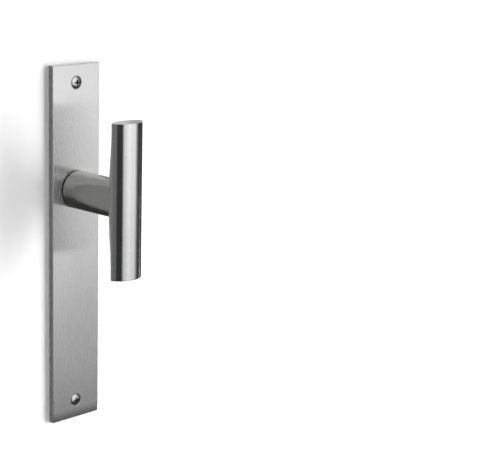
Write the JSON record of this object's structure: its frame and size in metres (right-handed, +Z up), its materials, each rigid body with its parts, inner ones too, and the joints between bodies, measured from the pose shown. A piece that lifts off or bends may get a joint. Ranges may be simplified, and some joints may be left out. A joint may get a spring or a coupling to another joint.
{
  "type": "door lever on backplate",
  "caption": "T-shaped door lever: a lens-section grip bar on a round neck, sprung upright, on a long plain rectangular backplate held by raised countersunk screws.",
  "frame": {"origin": "on the spindle's axis, on the back face of the backplate, which rests against the door", "axes": "+Z up along the backplate, +Y into the door along the spindle, +X to the right seen from the front"},
  "size_m": [0.04, 0.115, 0.24],
  "materials": {
    "satin_stainless": "satin, brushed along the length",
    "polished_stainless": "polished",
    "black_nylon": "matte",
    "plain_steel": "plain machined",
    "plated_steel": "bright zinc plated",
    "black_steel": "black oxide",
    "die_cast_zinc": "as cast, dull",
    "spring_steel": "oiled spring steel"
  },
  "bodies": {
    "plate_body": {"backplate": "satin_stainless", "upper_plate_screw": "polished_stainless", "lower_plate_screw": "polished_stainless", "front_bush": "black_nylon", "rear_bush": "black_nylon", "spring_housing": "die_cast_zinc", "housing_cover": "plated_steel", "torsion_spring": "spring_steel", "thrust_washer": "plated_steel", "housing_screw_1": "plated_steel", "housing_screw_2": "plated_steel", "housing_screw_3": "plated_steel", "housing_screw_4": "plated_steel"},
    "handle_body": {"neck": "satin_stainless", "grip_bar": "satin_stainless", "bar_stud": "plain_steel", "spindle": "plated_steel", "spindle_set_screw": "black_steel", "driver_cam": "plain_steel", "curved_spring_washer": "spring_steel", "retaining_ring": "spring_steel"}
  },
  "joints": [
    {"name": "handle_turn", "type": "hinge", "parent": "plate_body", "child": "handle_body", "pos_m": [0, 0, 0], "axis": [0, 1, 0], "range_deg": [-45, 45], "stiffness_Nm_per_rad": 0.17, "deforming": ["torsion_spring"]}
  ]
}
